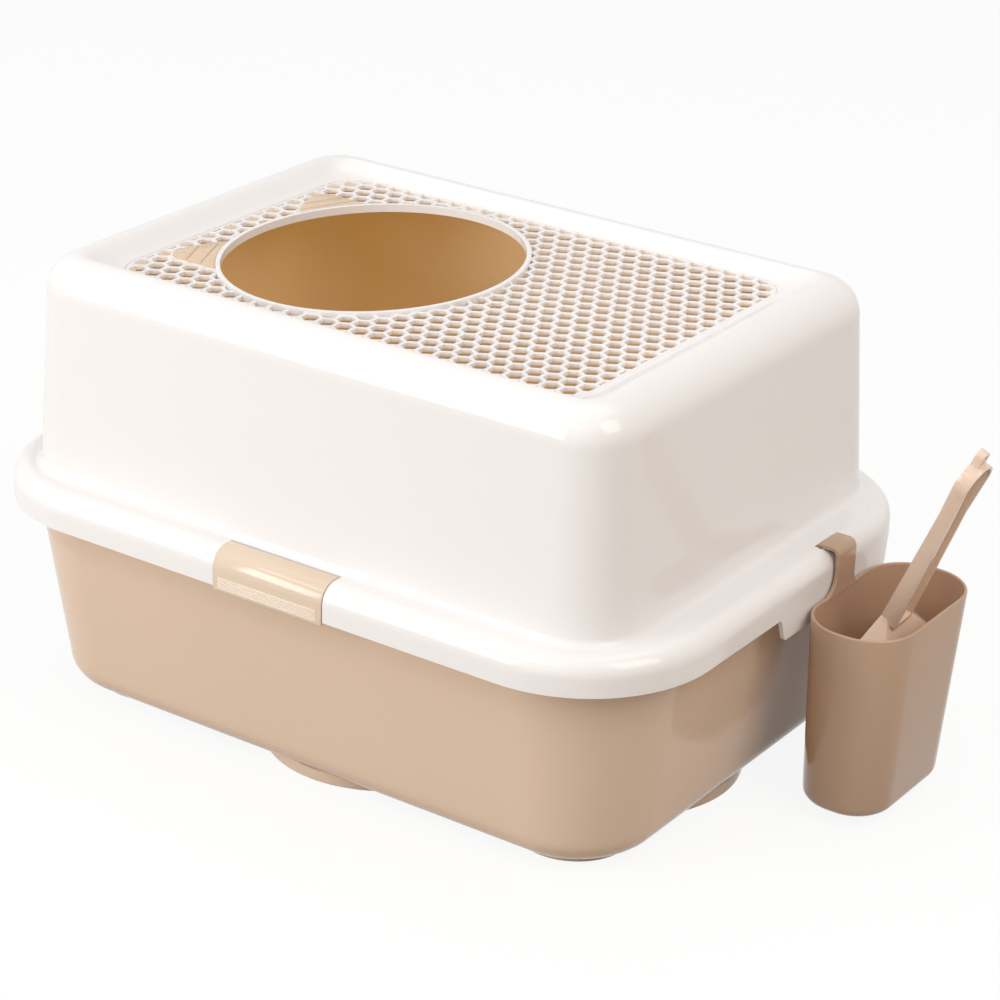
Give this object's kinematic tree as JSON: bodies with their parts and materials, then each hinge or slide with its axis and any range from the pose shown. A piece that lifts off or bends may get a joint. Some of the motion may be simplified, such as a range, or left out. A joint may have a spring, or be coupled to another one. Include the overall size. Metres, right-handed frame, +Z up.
{
  "type": "top entry litter box",
  "caption": "Top entry cat litter box: deep tub, lift-off hood with a perforated deck and round entry hole, side latches, hook-on holder with litter scoop.",
  "frame": {"origin": "on the floor, under the middle of the tub", "axes": "+Z up; +X along the long side, towards the scoop holder; -Y towards the pictured latch"},
  "size_m": [0.6689, 0.4066, 0.329],
  "materials": {
    "tan_tub": "polished injection-moulded polypropylene",
    "white_hood": "polished injection-moulded polypropylene",
    "white_deck": "satin injection-moulded polypropylene",
    "beige_insert": "satin injection-moulded polypropylene",
    "beige_latch": "polished injection-moulded polypropylene",
    "tan_holder": "polished injection-moulded polypropylene",
    "tan_scoop": "polished injection-moulded polypropylene"
  },
  "bodies": {
    "tub": {"base_tub": "tan_tub"},
    "hood": {"hood_shell": "white_hood", "deck_grille": "white_deck", "front_ear": "beige_insert", "rear_ear": "beige_insert"},
    "latch_front": {"front_latch": "beige_latch"},
    "latch_rear": {"rear_latch": "beige_latch"},
    "holder": {"scoop_holder": "tan_holder"},
    "scoop": {"litter_scoop": "tan_scoop"}
  },
  "joints": [
    {"name": "hood_lift", "type": "slide", "parent": "tub", "child": "hood", "axis": [0, 0, 1], "range_m": [0, 0.25]},
    {"name": "front_latch_swing", "type": "hinge", "parent": "hood", "child": "latch_front", "pos_m": [0, -0.1851, 0.1743], "axis": [-1, 0, 0], "range_deg": [0, 100]},
    {"name": "rear_latch_swing", "type": "hinge", "parent": "hood", "child": "latch_rear", "pos_m": [0, 0.1851, 0.1743], "axis": [1, 0, 0], "range_deg": [0, 100]},
    {"name": "holder_lift", "type": "slide", "parent": "hood", "child": "holder", "axis": [0, 0, 1], "range_m": [0, 0.04]},
    {"name": "scoop_draw", "type": "slide", "parent": "holder", "child": "scoop", "axis": [0, 0, 1], "range_m": [0, 0.15]}
  ]
}
